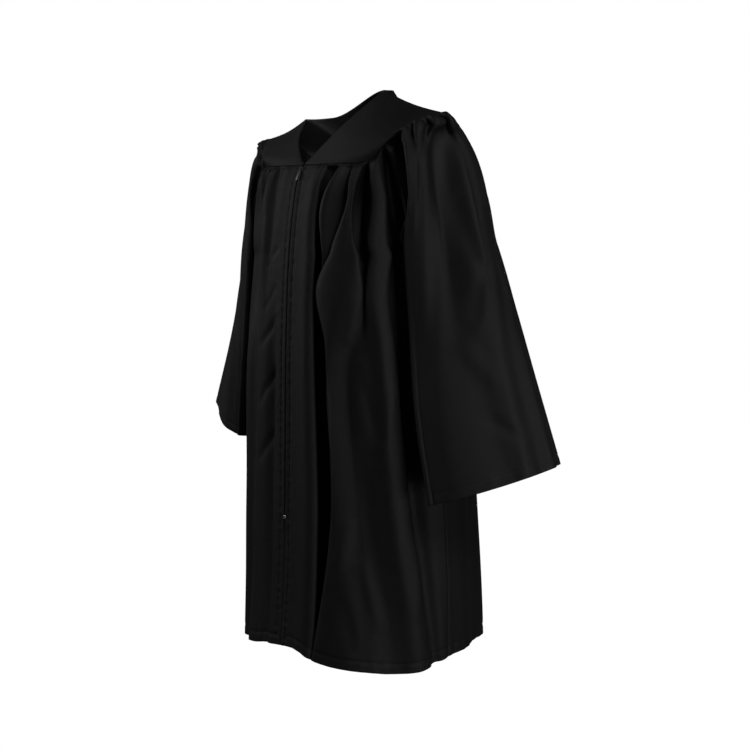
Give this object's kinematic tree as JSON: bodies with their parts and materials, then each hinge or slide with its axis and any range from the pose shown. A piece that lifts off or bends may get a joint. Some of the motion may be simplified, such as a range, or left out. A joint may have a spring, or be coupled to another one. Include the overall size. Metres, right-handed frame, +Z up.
{
  "type": "graduation gown",
  "caption": "Child's black graduation gown in its worn shape: plain V-neck yoke, gathered body panels, full bell sleeves and a zip down the front.",
  "frame": {"origin": "middle of the neck opening, level with the mean height of the neck ends of the two shoulder seams", "axes": "+Z up; -Y the way the wearer faces, with the zip; +X towards the wearer's left"},
  "size_m": [0.7267, 0.3371, 0.8423],
  "materials": {
    "gown_cloth": "matte black woven polyester",
    "zip_tape": "matte black woven tape",
    "zip_coil": "black nylon coil",
    "zip_metal": "black enamelled zinc"
  },
  "bodies": {
    "gown": {"front_left": "gown_cloth", "front_right": "gown_cloth", "back": "gown_cloth", "sleeve_left": "gown_cloth", "sleeve_right": "gown_cloth", "yoke_front_left": "gown_cloth", "yoke_front_right": "gown_cloth", "yoke_back": "gown_cloth", "zip_tape_left": "zip_tape", "zip_tape_right": "zip_tape", "zip_coil": "zip_coil", "zip_slider": "zip_metal", "zip_bottom_stop": "zip_metal"},
    "pull_tab": {"zip_pull_tab": "zip_metal"}
  },
  "joints": [
    {"name": "pull_tab_hinge", "type": "hinge", "parent": "gown", "child": "pull_tab", "pos_m": [0, -0.08545, -0.09636], "axis": [-1, 0, 0], "range_deg": [0, 150]}
  ]
}
